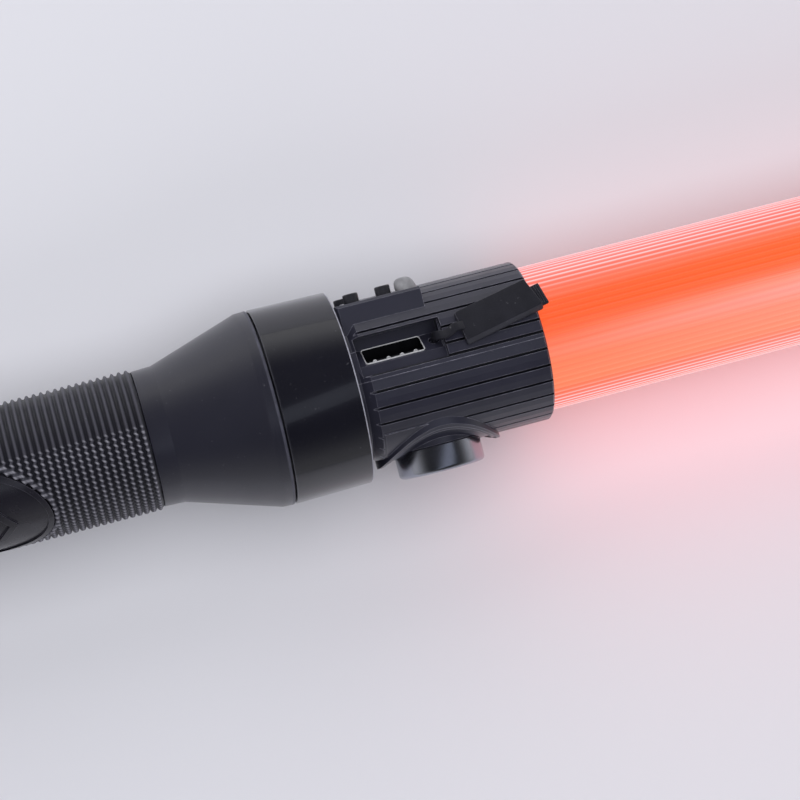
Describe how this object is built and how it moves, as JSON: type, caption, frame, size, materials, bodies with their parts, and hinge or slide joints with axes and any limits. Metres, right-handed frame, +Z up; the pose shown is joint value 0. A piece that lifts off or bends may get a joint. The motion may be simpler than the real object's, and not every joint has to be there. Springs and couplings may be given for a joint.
{
  "type": "traffic baton light",
  "caption": "Hand-held traffic baton light: ribbed grip, flared housing, fluted collar with buttons, lidded charging port and magnet, and a long ribbed translucent light tube.",
  "frame": {"origin": "middle of the footprint, on the surface the baton lies on", "axes": "+X from the tail towards the lit tip, +Y to the button side, +Z up through the charging port side"},
  "size_m": [0.54, 0.0488, 0.0432],
  "materials": {
    "black_plastic": "moulded black, fine grain",
    "seal_rubber": "smooth",
    "spring_steel": "bright wire",
    "contact_brass": "bright",
    "core_aluminium": "turned",
    "grip_rubber": "matte, ribbed",
    "badge_plastic": "satin",
    "soft_black": "soft touch",
    "gloss_black": "polished",
    "satin_black": "satin",
    "screw_steel": "plated",
    "magnet_chrome": "polished nickel plating",
    "button_rubber": "smooth",
    "frosted_lens": "frosted",
    "led_package": "clear red",
    "board_green": "solder mask",
    "board_white": "white solder mask",
    "port_steel": "plated sheet",
    "tongue_plastic": "moulded",
    "lid_rubber": "matte",
    "red_lens": "ribbed, translucent red",
    "white_plastic": "white",
    "cell_wrap": "shrink wrap"
  },
  "bodies": {
    "housing": {"battery_cell": "cell_wrap", "board_holder_root": "black_plastic", "board_holder_tip": "black_plastic", "button_board": "board_green", "clamp_ring": "gloss_black", "collar_button_shell": "satin_black", "collar_magnet_shell": "satin_black", "collar_screws": "screw_steel", "contact_carrier": "black_plastic", "flared_housing": "soft_black", "flash_switch": "black_plastic", "front_contact": "contact_brass", "grip_badge": "badge_plastic", "grip_sleeve": "grip_rubber", "handle_tube": "core_aluminium", "housing_seal": "seal_rubber", "indicator_led": "led_package", "indicator_lens": "frosted_lens", "led_board": "board_white", "leds_lower_left": "led_package", "leds_lower_right": "led_package", "leds_upper_left": "led_package", "leds_upper_right": "led_package", "lid_strap": "lid_rubber", "light_tube": "red_lens", "magnet_nut_plate": "screw_steel", "magnet_puck": "magnet_chrome", "magnet_screw": "screw_steel", "main_board": "board_green", "power_switch": "black_plastic", "siren_buzzer": "black_plastic", "siren_switch": "black_plastic", "tip_cap": "gloss_black", "tip_reflector": "white_plastic", "usb_board": "board_green", "usb_contacts": "contact_brass", "usb_shell": "port_steel", "usb_tongue": "tongue_plastic"},
    "lid": {"port_lid": "lid_rubber"},
    "power_button": {"power_button": "button_rubber"},
    "flash_button": {"flash_button": "button_rubber"},
    "siren_button": {"siren_button": "button_rubber"},
    "cap_seal": {"tail_o_ring": "seal_rubber"},
    "cap": {"tail_cap": "black_plastic", "spring_plate": "contact_brass", "battery_spring": "spring_steel"}
  },
  "joints": [
    {"name": "lid_fold", "type": "hinge", "parent": "housing", "child": "lid", "pos_m": [-0.08017, 0.00535, 0.03838], "axis": [0.1028, -0.9405, 0.3238], "range_deg": [0, 180], "deforming": ["lid_strap"]},
    {"name": "power_press", "type": "slide", "parent": "housing", "child": "power_button", "axis": [0, -1, 0], "range_m": [0, 0.0007], "stiffness_N_per_m": 900, "springref_m": -0.0006},
    {"name": "flash_press", "type": "slide", "parent": "housing", "child": "flash_button", "axis": [0, -1, 0], "range_m": [0, 0.0007], "stiffness_N_per_m": 900, "springref_m": -0.0006},
    {"name": "siren_press", "type": "slide", "parent": "housing", "child": "siren_button", "axis": [0, -1, 0], "range_m": [0, 0.0007], "stiffness_N_per_m": 900, "springref_m": -0.0006},
    {"name": "cap_travel", "type": "slide", "parent": "housing", "child": "cap_seal", "axis": [-1, 0, 0], "range_m": [0, 0.006]},
    {"name": "cap_turn", "type": "hinge", "parent": "cap_seal", "child": "cap", "pos_m": [-0.26, 0, 0.0216], "axis": [-1, 0, 0], "range_deg": [0, 1080]}
  ],
  "couplings": [
    {"joint": "cap_travel", "follows": "cap_turn", "m_per_rad": 0.00031831}
  ]
}
